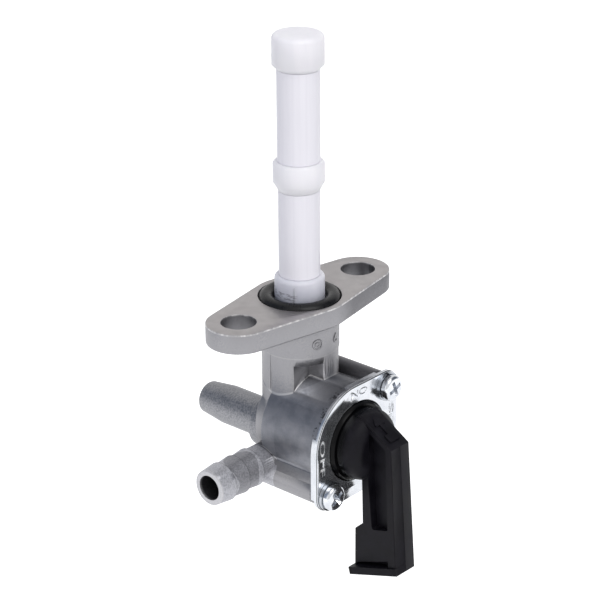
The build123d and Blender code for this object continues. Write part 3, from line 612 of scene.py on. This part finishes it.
@dataclass(frozen=True)
class MilkyPlastic:
    """Milky nylon of the strainer's core."""

    colour: Triple = (0.91, 0.895, 0.96)
    shade: Triple = (0.66, 0.67, 0.73)
    base: Triple = (0.44, 0.46, 0.54)
    scuff: Triple = (0.2, 0.2, 0.24)
    scuff_z_mm: Pair = (0.6, 1.9)
    scuff_x_mm: Pair = (-3.7, -4.2)
    glow_mm: float = 2.0
    rough: float = 0.34
    base_top_z_mm: float = 5.0

    def material(self) -> Material:
        """Slightly clouded translucent plastic, a little greyer in the base."""
        s = Shader("strainer_plastic_finish")
        x, z = s.axis_of("X"), s.axis_of("Z")
        cloud = s.cloud(6.0, 3.0, 0.35, 0.65)
        streak = s.cloud(1.4, 3.0, 0.4, 0.7, (1.0, 1.0, 0.12))
        low = s.times(s.ramp(z, 0.0, self.base_top_z_mm, 1.0, 0.45), s.below(z, self.base_top_z_mm))
        low = s.times(low, s.ramp(x, 3.0, -4.0, 0.6, 1.0), s.blend(cloud, 0.75, 1.0))
        scuffs = s.cloud(0.5, 3.0, 0.45, 0.6, (0.5, 0.5, 2.2), 0.75)
        low_z, high_z = self.scuff_z_mm
        in_scuff = s.times(s.above(z, low_z), s.below(z, high_z), s.ramp(x, *self.scuff_x_mm, 0.0, 1.0))
        based = s.tint(low, s.tint(s.times(streak, 0.12), self.colour, self.shade), self.base)
        s.bump(s.noise(1.6, 2.0), 0.03, 0.3)
        s.values(
            Base_Color=s.tint(s.times(in_scuff, scuffs), based, self.scuff),
            Roughness=s.spread(cloud, 0.0, 1.0, self.rough, self.rough + 0.08),
            Subsurface_Weight=0.5,
            Subsurface_Scale=self.glow_mm * MM,
            Subsurface_Radius=(1.0, 0.95, 1.0),
        )
        return s.material


@dataclass(frozen=True)
class FineMesh:
    """Fine nylon mesh moulded round the strainer's ribs, smooth to the eye."""

    colour: Triple = (0.88, 0.865, 0.925)
    shade: Triple = (0.8, 0.785, 0.85)
    pitch_mm: float = 0.12
    sleeve_r_mm: float = 4.0
    rough: float = 0.42

    def material(self) -> Material:
        """A fine weave that only shows close up, with upright streaks over the four ribs behind it."""
        s = Shader("screen_mesh_finish")
        angle = s.sums("ARCTAN2", s.axis_of("Y"), s.axis_of("X"))
        around = s.times(angle, math.pi * self.sleeve_r_mm / self.pitch_mm)
        level = s.times(s.axis_of("Z"), math.pi / (self.pitch_mm * MM))
        threads = s.most(s.size_of(s.sums("SINE", around)), s.size_of(s.sums("SINE", level)))
        rib = s.size_of(s.sums("SINE", s.times(angle, 2.0)))
        rib_edge = s.times(s.spread(rib, 0.72, 0.8, 0.0, 1.0), s.spread(rib, 0.8, 0.92, 1.0, 0.0))
        streak = s.cloud(1.3, 3.0, 0.42, 0.66, (1.0, 1.0, 0.05))
        shaded = s.sums("ADD", s.times(streak, 0.35), s.times(rib_edge, 0.3))
        shaded = s.sums("ADD", shaded, s.spread(threads, 0.6, 0.95, 0.12, 0.0))
        s.values(Base_Color=s.tint(shaded, self.colour, self.shade), Roughness=self.rough)
        s.bump(threads, 0.012, 0.15)
        return s.material


@dataclass(frozen=True)
class SealRubber:
    """Black rubber of the rings and the gasket."""

    colour: Triple = (0.008, 0.008, 0.009)
    bloom: Triple = (0.013, 0.013, 0.014)
    rough: float = 0.26

    def material(self) -> Material:
        """Black rubber with a faint bloom."""
        s = Shader("seal_rubber_finish")
        cloud = s.cloud(1.2, 3.0, 0.4, 0.7)
        s.values(
            Base_Color=s.tint(cloud, self.colour, self.bloom),
            Roughness=s.spread(cloud, 0.0, 1.0, self.rough, self.rough + 0.14),
            Specular_IOR_Level=0.24,
        )
        s.bump(s.noise(0.25, 2.0), 0.01, 0.3)
        return s.material


@dataclass(frozen=True)
class BlackNylon:
    """Black moulded plastic of the lever."""

    colour: Triple = (0.0045, 0.0041, 0.0065)
    worn: Triple = (0.0105, 0.0098, 0.0138)
    # hub: painted shade, a darker black on the hub by the plate
    hub: Triple = (0.0015, 0.0015, 0.002)
    rough: float = 0.42
    hub_rough: float = 0.24
    hub_y_mm: float = -16.2

    def material(self) -> Material:
        """Satin black plastic with a fine spark-eroded grain, the hub glossier and darkened by painted shade."""
        s = Shader("black_plastic_finish")
        cloud = s.cloud(3.0, 4.0, 0.35, 0.68)
        satin = s.spread(cloud, 0.0, 1.0, self.rough, self.rough + 0.12)
        on_hub = s.ramp(s.axis_of("Y"), self.hub_y_mm - 1.0, self.hub_y_mm, 0.0, 1.0)
        s.values(
            # the hub is glossier, and painted darker as shade by the plate
            Base_Color=s.tint(on_hub, s.tint(cloud, self.colour, self.worn), self.hub),
            Roughness=s.blend(on_hub, satin, self.hub_rough),
            Specular_IOR_Level=0.12,
        )
        s.bump(s.noise(0.18, 3.0), 0.012, 0.45)
        return s.material


@dataclass(frozen=True)
class BrightZinc:
    """Bright zinc plating on pressed steel."""

    name: str = "bright_zinc_finish"
    colour: Triple = (0.66, 0.675, 0.705)
    dull: Triple = (0.59, 0.612, 0.65)
    # rim: painted dark reflection on the plate's rounded front edge
    rim: Triple = (0.04, 0.045, 0.05)
    # stamped: painted highlight, white in the floors of the deep stamped letters
    stamped: Triple = (0.95, 0.96, 0.97)
    rim_y_mm: Pair = (-14.5, -14.35)
    floor_y_mm: float = -14.3
    metal: float = 0.93
    rough: float = 0.15
    wave_depth_mm: float = 0.006

    def material(self) -> Material:
        """Mirror-like plating, a little clouded and rolled, with a painted dark reflection on its rounded rim and a
        painted highlight in the deep stamped letters.
        """
        s = Shader(self.name)
        cloud = s.cloud(2.2, 4.0, 0.35, 0.7)
        front, back = self.rim_y_mm
        y = s.axis_of("Y")
        # painted reflection: the rounded front edge is darkened
        reflecting_rim = s.times(s.above(y, front + 0.03), s.below(y, back))
        plated = s.tint(s.times(reflecting_rim, 0.9), s.tint(cloud, self.colour, self.dull), self.rim)
        # painted highlight: the floors of the deep stamped letters are white, dull and hardly metallic
        in_stamp = s.below(s.size_of(s.past(y, self.floor_y_mm)), 0.02)
        rough = s.spread(cloud, 0.0, 1.0, self.rough - 0.03, self.rough + 0.07)
        s.values(
            Base_Color=s.tint(in_stamp, plated, self.stamped),
            Roughness=s.blend(in_stamp, rough, 0.75),
            Metallic=s.blend(in_stamp, self.metal, 0.15),
        )
        rolled = s.sums("ADD", s.noise(2.5, 1.0), s.times(s.noise(0.12, 2.0, (0.1, 1.0, 1.0)), 0.04))
        s.bump(rolled, self.wave_depth_mm, 0.6)
        return s.material


@dataclass(frozen=True)
class SpringSteel:
    """Brushed spring steel."""

    colour: Triple = (0.5, 0.5, 0.5)
    brushed: Triple = (0.42, 0.42, 0.43)
    rough: float = 0.3

    def material(self) -> Material:
        """Steel with fine brushed lines."""
        s = Shader("spring_steel_finish")
        lines = s.noise(0.15, 2.0, (0.05, 1.0, 1.0))
        s.values(Base_Color=s.tint(lines, self.colour, self.brushed), Metallic=1.0, Roughness=self.rough)
        s.bump(lines, 0.01, 0.4)
        return s.material


@dataclass
class CastBody:
    """The die-cast body with its machined rims and cast marks."""

    rim_round: float = 0.18
    rim_corner_deg: float = 60.0
    neck_r: float = 7.55
    mark_z: float = -7.45
    ring_angle_deg: float = -112.0
    ring_radii: Pair = (0.95, 0.42)
    digit_angle_deg: float = -76.0
    digit_h: float = 1.9
    digit_w: float = 1.3
    digit_bold: float = 0.03
    mark_rise: float = 0.15
    seam_y: float = 1.2
    seam_w: float = 0.24
    seam_rise: float = 0.07
    seam_low_z: float = -17.5
    seam_high_z: float = -5.2
    neck_low_r: float = 7.4
    web_outline: Pairs = ((-9.29, -30.81), (-8.6, -31.2), (-8.0, -33.2), (-10.02, -32.77), (-9.8, -31.8))
    web_back: float = -0.9
    web_front: float = 13.6

    def build(self, nodes: dict[str, Piece], finish: Material) -> None:
        """Make the body's pieces.

        Args:
            nodes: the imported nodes.
            finish: the cast finish.
        """
        settle(self._casting(nodes["body"]), Body.HOUSING, finish, ("body",))
        for relief in (self._ring_mark(), self._digit(), self._seam(), self._web()):
            settle(relief, Body.HOUSING, finish)

    def _casting(self, node: Piece) -> Piece:
        """Copy the casting and round the rims of its machined face."""
        bm = merged_copy(node)
        soften(bm, lambda e: all(abs(v.co.z) < 0.01 for v in e.verts), self.rim_round, 2, self.rim_corner_deg)
        return to_object(bm, "cast_body")

    def _on_neck(self, angle_deg: float) -> Matrix:
        """Frame on the neck, its third axis pointing out of the metal."""
        out = Matrix.Rotation(math.radians(angle_deg + 90.0), 4, "Z")
        return out @ facing_front(-self.neck_r, 0.0, self.mark_z)

    def _ring_mark(self) -> Piece:
        """Small raised ejector mark of two rings."""
        bm = bmesh.new()
        for ring_r in self.ring_radii:
            made = bmesh.ops.create_circle(bm, cap_ends=False, radius=self.mark_rise, segments=12)["verts"]
            bmesh.ops.rotate(bm, verts=made, cent=(0, 0, 0), matrix=Matrix.Rotation(math.pi / 2, 3, "X"))
            bmesh.ops.translate(bm, verts=made, vec=(ring_r, 0, 0))
            spun(bm, made + list({e for v in made for e in v.link_edges}), 40)
        return placed(bm, self._on_neck(self.ring_angle_deg), "cast_ring_mark")

    def _digit(self) -> Piece:
        """Raised cavity number."""
        place = self._on_neck(self.digit_angle_deg)
        return word("6", self.digit_h, self.digit_w, 2 * self.mark_rise, place, "cast_number", self.digit_bold)

    def _seam(self) -> Piece:
        """Parting line down the left of the neck."""
        bm = bar((4 * self.seam_rise, self.seam_w, self.seam_high_z - self.seam_low_z), self.seam_rise)
        reach = math.sqrt(self.neck_low_r**2 - self.seam_y**2) - self.seam_rise
        bmesh.ops.translate(bm, vec=(-reach, self.seam_y, (self.seam_low_z + self.seam_high_z) / 2), verts=bm.verts)
        return to_object(bm, "cast_seam")

    def _web(self) -> Piece:
        """Raised web between the front spigot and the lower boss."""
        return prism(self.web_outline, self.web_back, self.web_front, facing_front(0.0), "cast_boss_web")


@dataclass
class StrainerTower:
    """Strainer core, its two mesh sleeves, the standpipe and the sealing ring."""

    base_r: float = 4.8
    stations: Pairs = (
        (0.5, 0.5), (5.65, 3.4), (6.7, 4.4), (23.3, 21.4), (25.0, 23.1), (29.0, 26.6),
        (29.5, 27.1), (46.4, 44.85), (47.3, 45.75), (51.9, 50.5), (52.5, 51.5),
    )
    cap_r: float = 4.9
    rib_angle_deg: float = -151.0
    rib_w: float = 0.22
    rib_rise: float = 0.06
    rib_round: float = 0.04
    rib_low_z: float = 0.2
    rib_high_z: float = 3.2

    def build(self, nodes: dict[str, Piece], plastic: Material, mesh: Material, rubber: Material) -> None:
        """Dress the tower.

        Args:
            nodes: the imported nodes.
            plastic: finish of the core and the standpipe.
            mesh: finish of the sleeves.
            rubber: finish of the ring.
        """
        for name, made, slot, finish in (
            ("strainer_core", "moulded_core", "strainer_plastic", plastic),
            ("standpipe", "reserve_pipe", "strainer_plastic", plastic),
            ("upper_screen", "upper_sleeve", "screen_mesh", mesh),
            ("lower_screen", "lower_sleeve", "screen_mesh", mesh),
        ):
            bm = merged_copy(nodes[name])
            for vert in bm.verts:
                vert.co = self._stationed(vert.co)
            settle(to_object(bm, made), Body.HOUSING, finish, (name,))
        wear(nodes["flange_o_ring"], rubber)
        self._mould_line(plastic)

    def _stationed(self, point: Vector) -> Vector:
        """Move a point of the tower to its station in the photograph, and inward on the cap's rounded corner."""
        z = point.z
        for (low, new_low), (high, new_high) in zip(self.stations, self.stations[1:]):
            if low <= point.z <= high:
                z = new_low + (new_high - new_low) * (point.z - low) / (high - low)
        if point.z > self.stations[-1][0]:
            z = self.stations[-1][1]
        corner_z, corner = self.stations[-2][1], self.stations[-1][1] - self.stations[-2][1]
        across = math.hypot(point.x, point.y)
        if z <= corner_z + 0.001 or across < self.cap_r - corner:
            return Vector((point.x, point.y, z))
        reach = self.cap_r - corner + math.sqrt(max(0.0, corner**2 - (z - corner_z) ** 2))
        return Vector((point.x * reach / across, point.y * reach / across, z))

    def _mould_line(self, plastic: Material) -> None:
        """Thin upright moulding line on the base."""
        bm = bar((2 * self.rib_rise, self.rib_w, self.rib_high_z - self.rib_low_z), self.rib_round)
        bmesh.ops.translate(bm, vec=(self.base_r, 0, (self.rib_low_z + self.rib_high_z) / 2), verts=bm.verts)
        bmesh.ops.rotate(
            bm, verts=bm.verts, cent=(0, 0, 0), matrix=Matrix.Rotation(math.radians(self.rib_angle_deg), 3, "Z")
        )
        settle(to_object(bm, "base_mould_line"), Body.HOUSING, plastic)


@dataclass
class CoverPlate:
    """Pressed cover plate with its three stamped words."""

    valve_z: float = -26.2
    back_y: float = -13.7
    thick: float = 0.8
    hole_r: float = 8.15
    edge_round: float = 0.22
    edge_corner_deg: float = 60.0
    letter_h: float = 1.4
    stroke: float = 0.045
    stamp_depth: float = 0.2
    faint_depth: float = 0.015
    off_place: Pair = (-10.0, -26.4)
    on_place: Pair = (0.5, -16.25)
    res_place: Pair = (10.0, -25.6)
    word_length: float = 7.6
    on_length: float = 4.6

    @property
    def front_y(self) -> float:
        """Front face of the plate."""
        return self.back_y - self.thick

    def build(self, node: Piece, finish: Material) -> None:
        """Round the plate's edge and stamp the words.

        Args:
            node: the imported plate.
            finish: the plated finish.
        """
        bm = merged_copy(node)
        soften(bm, self._outside, self.edge_round, 3, self.edge_corner_deg)
        plate = to_object(bm, "stamped_cover_plate")
        for letters, (x, z), length, turn, depth in (
            ("OFF", self.off_place, self.word_length, -90.0, self.stamp_depth),
            ("ON", self.on_place, self.on_length, 180.0, self.faint_depth),
            ("RES", self.res_place, self.word_length, 90.0, self.faint_depth),
        ):
            place = facing_front(self.front_y, x, z, turn)
            carve(plate, word(letters, self.letter_h, length, 2 * depth, place, f"stamp_{letters}", self.stroke))
        settle(plate, Body.HOUSING, finish, ("cover_plate",))

    def _outside(self, edge: BMEdge) -> bool:
        """Whether an edge is on the outline of the plate's front face."""
        in_front = all(abs(v.co.y - self.front_y) < 0.01 for v in edge.verts)
        middle = (edge.verts[0].co + edge.verts[1].co) / 2
        arm = Vector((middle.x, 0, middle.z - self.valve_z))
        outward = any(abs(f.normal.y) < 0.1 and f.normal.dot(arm) > 0 for f in edge.link_faces)
        return in_front and arm.length > self.hole_r + 1.0 and outward


@dataclass
class CoverScrew:
    """Pan head screw with a cross recess, and the split washer under its head."""

    side: str
    x: float
    z: float
    head_back_y: float = -15.25
    head_r: float = 2.55
    head_h: float = 1.6
    head_rim: float = 0.75
    head_crown: float = 0.12
    shank_r: float = 1.45
    shank_l: float = 8.0
    recess_l: float = 3.35
    recess_w: float = 0.8
    recess_depth: float = 1.2
    recess_taper: Pair = (0.5, 0.6)
    recess_turn_deg: float = 20.0
    washer_r: float = 2.85
    washer_hole_r: float = 1.6
    washer_t: float = 0.62
    washer_rise: float = 0.1
    washer_split_deg: float = 100.0
    washer_turn_deg: float = 350.0
    washer_steps: int = 60
    washer_back: float = 0.75

    def build(self, finish: Material, washer_finish: Material) -> None:
        """Make the screw and its washer.

        Args:
            finish: the screw's plated finish.
            washer_finish: the washer's.
        """
        place = facing_front(self.head_back_y, self.x, self.z)
        screw = turned(self._profile(), place, f"{self.side}_pan_screw", 64)
        for turn in (0.0, 90.0):
            carve(screw, self._wing(turn))
        settle(screw, Body.HOUSING, finish, (f"{self.side}_cover_screw",))
        self._washer(washer_finish)

    def _profile(self) -> list[Pair]:
        """Radius and height pairs from the shank's end to the top of the head."""
        rim = self.head_rim
        crown = [
            (self.head_r - rim + rim * math.cos(a), self.head_h - self.head_crown - rim + rim * math.sin(a))
            for a in (math.radians(d) for d in range(0, 90, 10))
        ]
        return [
            (0.0, -self.shank_l),
            (self.shank_r - 0.3, -self.shank_l),
            (self.shank_r, -self.shank_l + 0.3),
            (self.shank_r, 0.0),
            (self.head_r - 0.1, 0.0),
            (self.head_r, 0.1),
            *crown,
            (0.0, self.head_h),
        ]

    def _wing(self, turn_deg: float) -> Piece:
        """One tapered slot of the cross recess, as a cutter."""
        bm = block((self.recess_l, self.recess_w, 2 * self.recess_depth))
        along, across = self.recess_taper
        bmesh.ops.scale(bm, vec=(along, across, 1.0), verts=[v for v in bm.verts if v.co.z < 0])
        bmesh.ops.scale(bm, vec=(2.0 - along, 2.0 - across, 1.0), verts=[v for v in bm.verts if v.co.z > 0])
        place = facing_front(self.head_back_y - self.head_h, self.x, self.z, self.recess_turn_deg + turn_deg)
        return placed(bm, place, "recess_cutter")

    def _washer(self, finish: Material) -> None:
        """Split washer whose ends stand a little apart."""
        bm = bmesh.new()
        width = self.washer_r - self.washer_hole_r
        section = bmesh.ops.create_grid(bm, x_segments=1, y_segments=1, size=0.5)["verts"]
        bmesh.ops.scale(bm, vec=(width, self.washer_t, 1.0), verts=section)
        bmesh.ops.rotate(bm, verts=section, cent=(0, 0, 0), matrix=Matrix.Rotation(math.pi / 2, 3, "X"))
        bmesh.ops.translate(
            bm, verts=section, vec=((self.washer_r + self.washer_hole_r) / 2, 0, self.washer_t / 2 + 0.01)
        )
        bmesh.ops.spin(
            bm,
            geom=section + bm.edges[:] + bm.faces[:],
            cent=(0, 0, 0),
            axis=(0, 0, 1),
            dvec=(0, 0, self.washer_rise / self.washer_steps),
            angle=math.radians(self.washer_turn_deg),
            steps=self.washer_steps,
            use_duplicate=False,
        )
        place = facing_front(self.head_back_y + self.washer_back, self.x, self.z, self.washer_split_deg)
        washer = placed(bm, place, f"{self.side}_split_washer")
        settle(washer, Body.HOUSING, finish, (f"{self.side}_spring_washer",))


@dataclass
class LeverMoulding:
    """The black lever: rotor, hub and arm, with the arrow on its slanted face."""

    arm_half_w: float = 2.65
    arm_top_y: float = -17.0
    arm_top_z: float = -19.2
    nose_y: float = -25.0
    nose_z: float = -24.0
    edge_round: float = 0.25
    edge_corner_deg: float = 50.0
    arrow_rise: float = 0.3
    arrow_half: Pairs = ((0.0, 1.0), (1.38, 3.3), (1.38, 3.7), (0.45, 3.7), (0.45, 6.1), (1.45, 6.1), (1.45, 7.85))

    def build(self, nodes: dict[str, Piece], plastic: Material, rubber: Material) -> None:
        """Make the lever's pieces.

        Args:
            nodes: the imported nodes.
            plastic: the black finish.
            rubber: finish of the rotor's seal.
        """
        bm = merged_copy(nodes["lever"])
        soften(bm, self._arm_corner, self.edge_round, 3, self.edge_corner_deg)
        settle(to_object(bm, "moulded_lever"), Body.LEVER, plastic, ("lever",))
        self._arrow(plastic)
        wear(nodes["lever_o_ring"], rubber)

    def _arm_corner(self, edge: BMEdge) -> bool:
        """Whether an edge is one of the arm's long outer corners."""
        outside = all(v.co.y < self.arm_top_y + 0.3 for v in edge.verts)
        on_wall = all(abs(abs(v.co.x) - self.arm_half_w) < 0.01 for v in edge.verts)
        across = abs(edge.verts[0].co.x - edge.verts[1].co.x) > 2 * self.arm_half_w - 0.1
        return outside and edge.calc_length() > 1.5 and (on_wall or across)

    def _arrow(self, plastic: Material) -> None:
        """Raised arrow that points to the position in use."""
        down = Vector((0, self.nose_y - self.arm_top_y, self.nose_z - self.arm_top_z)).normalized()
        across = Vector((1, 0, 0))
        out = down.cross(across) * -1
        turn = Matrix((across, down, out)).transposed().to_4x4()
        frame = Matrix.Translation((0, self.arm_top_y, self.arm_top_z)) @ turn
        other_half = tuple((-u, v) for u, v in reversed(self.arrow_half[1:]))
        arrow = prism(self.arrow_half + other_half, -self.arrow_rise, self.arrow_rise, frame, "position_arrow")
        settle(arrow, Body.LEVER, plastic)


@dataclass
class HiddenParts:
    """Pieces inside the closed valve."""

    def build(self, nodes: dict[str, Piece], rubber: Material, steel: Material) -> None:
        """Finish the gasket and the curved washer."""
        wear(nodes["valve_gasket"], rubber)
        wear(nodes["curved_washer"], steel)


@dataclass
class Studio:
    """Pale floor, soft lamps, pale world and the camera."""

    floor_z: float = -60.0
    floor_half: float = 3000.0
    floor_colour: Triple = (0.82, 0.82, 0.82)
    floor_glow: float = 0.7
    sky: Triple = (0.9, 0.895, 0.895)
    back_screen: Triple = (0.2, 0.24, 0.32)
    back_screen_toward: Triple = (-0.62, 0.62, 0.48)
    back_screen_cosines: Pair = (0.7, 0.92)
    front_screen: Triple = (0.1, 0.12, 0.15)
    front_screen_toward: Triple = (0.68, -0.48, 0.55)
    front_screen_cosines: Pair = (0.8, 0.93)
    lamps: tuple[tuple[str, Triple, float, float], ...] = (
        ("key_lamp", (-60.0, -320.0, 420.0), 320.0, 0.8),
        ("left_lamp", (-460.0, 60.0, 90.0), 360.0, 0.17),
    )
    camera_place: Triple = (-294.3, -263.7, 169.7)
    azimuth_deg: float = -48.282
    elevation_deg: float = 23.512
    roll_deg: float = -0.35
    lens_mm: float = 133.65
    sensor_mm: float = 36.0

    def build(self) -> None:
        """Set up the whole studio."""
        self._floor()
        self._world()
        for name, place, size, watts in self.lamps:
            self._lamp(name, place, size, watts)
        self._camera()
        bpy.context.scene.view_settings.view_transform = "Standard"

    def _floor(self) -> None:
        """Large pale floor that shows white to the camera and keeps the shadow."""
        bm = bmesh.new()
        bmesh.ops.create_grid(bm, x_segments=1, y_segments=1, size=self.floor_half)
        bmesh.ops.translate(bm, vec=(0, 0, self.floor_z), verts=bm.verts)
        floor = to_object(bm, "studio_floor")
        s = Shader("floor_finish")
        s.values(Base_Color=self.floor_colour, Roughness=0.9, Specular_IOR_Level=0.1)
        path = s.node("ShaderNodeLightPath").outputs
        seen = s.most(path["Is Camera Ray"], path["Is Glossy Ray"], path["Is Transmission Ray"])
        s.values(Emission_Strength=s.times(seen, self.floor_glow), Emission_Color=WHITE)
        wear(floor, s.material)

    def _world(self) -> None:
        """Pale world with a dark screen at the back left and one at the front right, and white to the camera."""
        world = bpy.data.worlds.new("studio_world")
        bpy.context.scene.world = world
        world.use_nodes = True
        graph = Graph(world.node_tree)
        back = self._screen(graph, self.back_screen_toward, *self.back_screen_cosines)
        front = self._screen(graph, self.front_screen_toward, *self.front_screen_cosines)
        sky = graph.tint(front, graph.tint(back, self.sky, self.back_screen), self.front_screen)
        path = graph.node("ShaderNodeLightPath").outputs
        seen = graph.most(path["Is Camera Ray"], path["Is Transmission Ray"])
        background = graph.tree.nodes["Background"].inputs
        graph.put(background["Color"], graph.tint(seen, sky, WHITE))
        background["Strength"].default_value = 1.0

    def _screen(self, graph: Graph, toward: Triple, start: float, end: float) -> Socket:
        """Soft-edged round patch of the world: 0 at the cosine `start` of the angle to its middle, 1 at `end`."""
        facing = graph.node("ShaderNodeVectorMath", operation="DOT_PRODUCT")
        graph.put(facing.inputs[0], graph.node("ShaderNodeTexCoord").outputs["Generated"])
        facing.inputs[1].default_value = Vector(toward).normalized()
        return graph.spread(facing.outputs["Value"], start, end, 0.0, 1.0)

    def _lamp(self, name: str, place: Triple, size: float, watts: float) -> None:
        """Square soft lamp that faces the tap."""
        data = bpy.data.lights.new(name, "AREA")
        data.size = size * MM
        data.energy = watts
        lamp = bpy.data.objects.new(name, data)
        lamp.location = Vector(place) * MM
        lamp.rotation_euler = (-lamp.location).to_track_quat("-Z", "Y").to_euler()
        bpy.context.scene.collection.objects.link(lamp)

    def _camera(self) -> None:
        """Camera at the photograph's angle."""
        a, e = math.radians(self.azimuth_deg), math.radians(self.elevation_deg)
        back = Vector((math.sin(a) * math.cos(e), -math.cos(a) * math.cos(e), math.sin(e)))
        right = Vector((math.cos(a), math.sin(a), 0))
        up = back.cross(right)
        turn = Matrix((right, up, back)).transposed().to_4x4() @ Matrix.Rotation(math.radians(self.roll_deg), 4, "Z")
        data = bpy.data.cameras.new("photo_camera")
        data.lens = self.lens_mm
        data.sensor_width = self.sensor_mm
        data.clip_start, data.clip_end = 0.01, 20.0
        camera = bpy.data.objects.new("photo_camera", data)
        camera.matrix_world = Matrix.Translation(Vector(self.camera_place) * MM) @ turn
        bpy.context.scene.collection.objects.link(camera)
        bpy.context.scene.camera = camera


def main() -> None:
    """Build the tap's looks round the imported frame."""
    logging.basicConfig(level=logging.INFO, format="%(name)s %(message)s")
    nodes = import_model()["nodes"]
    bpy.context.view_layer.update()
    cast = CastZinc().material()
    milky = MilkyPlastic().material()
    mesh = FineMesh().material()
    rubber = SealRubber().material()
    black = BlackNylon().material()
    plating = BrightZinc().material()
    screw_zinc = BrightZinc(
        name="screw_zinc_finish",
        colour=(0.74, 0.76, 0.79),
        dull=(0.58, 0.6, 0.64),
        rim_y_mm=NOWHERE,
        floor_y_mm=NOWHERE[0],
        metal=0.95,
        rough=0.13,
        wave_depth_mm=0.012,
    )
    washer_zinc = replace(
        screw_zinc, name="washer_zinc_finish", colour=(0.46, 0.48, 0.51), dull=(0.34, 0.36, 0.39), metal=1.0, rough=0.22
    )
    screw_plating, washer_plating = screw_zinc.material(), washer_zinc.material()
    steel = SpringSteel().material()
    CastBody().build(nodes, cast)
    StrainerTower().build(nodes, milky, mesh, rubber)
    CoverPlate().build(nodes["cover_plate"], plating)
    for screw in (
        CoverScrew(side="upper", x=8.45, z=-17.75),
        CoverScrew(side="lower", x=-8.45, z=-34.65, recess_turn_deg=35.0, washer_split_deg=-60.0),
    ):
        screw.build(screw_plating, washer_plating)
    LeverMoulding().build(nodes, black, rubber)
    HiddenParts().build(nodes, rubber, steel)
    Studio().build()


if __name__ == "__main__":
    main()
